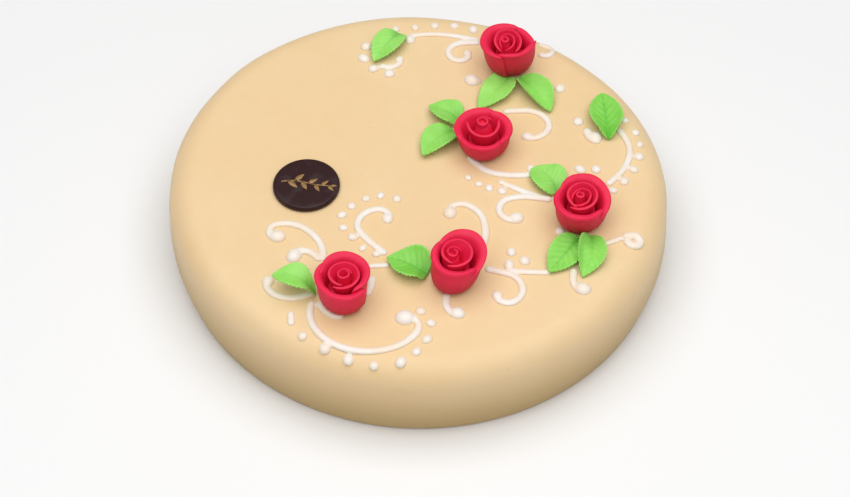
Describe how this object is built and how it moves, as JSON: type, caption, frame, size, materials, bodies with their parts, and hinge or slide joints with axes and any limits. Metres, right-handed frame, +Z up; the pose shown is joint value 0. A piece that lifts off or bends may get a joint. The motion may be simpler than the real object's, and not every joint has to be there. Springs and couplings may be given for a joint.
{
  "type": "birthday cake",
  "caption": "Low round cake under smooth pale marzipan, with piped white icing scrolls and dots, red marzipan roses, green leaves and a plain chocolate disc.",
  "frame": {"origin": "on the table, under the middle of the cake's bounding box", "axes": "+Z up through the cake, -Y towards the front, +X to the right seen from the front"},
  "size_m": [0.2636, 0.2564, 0.0719],
  "materials": {
    "marzipan": "smooth satin cream-coloured marzipan",
    "icing": "piped off-white icing with a soft sheen, on the cake's top",
    "rose_marzipan": "red marzipan with a soft sheen",
    "leaf_marzipan": "light green matt marzipan",
    "chocolate": "satin dark chocolate",
    "gold_decoration": "thin printed gold on the chocolate disc"
  },
  "bodies": {
    "root": {"cake": "marzipan", "chocolate_disc": "chocolate", "rose_1": "rose_marzipan", "rose_2": "rose_marzipan", "rose_3": "rose_marzipan", "rose_4": "rose_marzipan", "rose_5": "rose_marzipan", "leaf_1": "leaf_marzipan", "leaf_2": "leaf_marzipan", "leaf_3": "leaf_marzipan", "leaf_4": "leaf_marzipan", "leaf_5": "leaf_marzipan", "leaf_6": "leaf_marzipan", "leaf_7": "leaf_marzipan", "leaf_8": "leaf_marzipan", "leaf_9": "leaf_marzipan", "leaf_10": "leaf_marzipan", "leaf_11": "leaf_marzipan"}
  },
  "joints": []
}
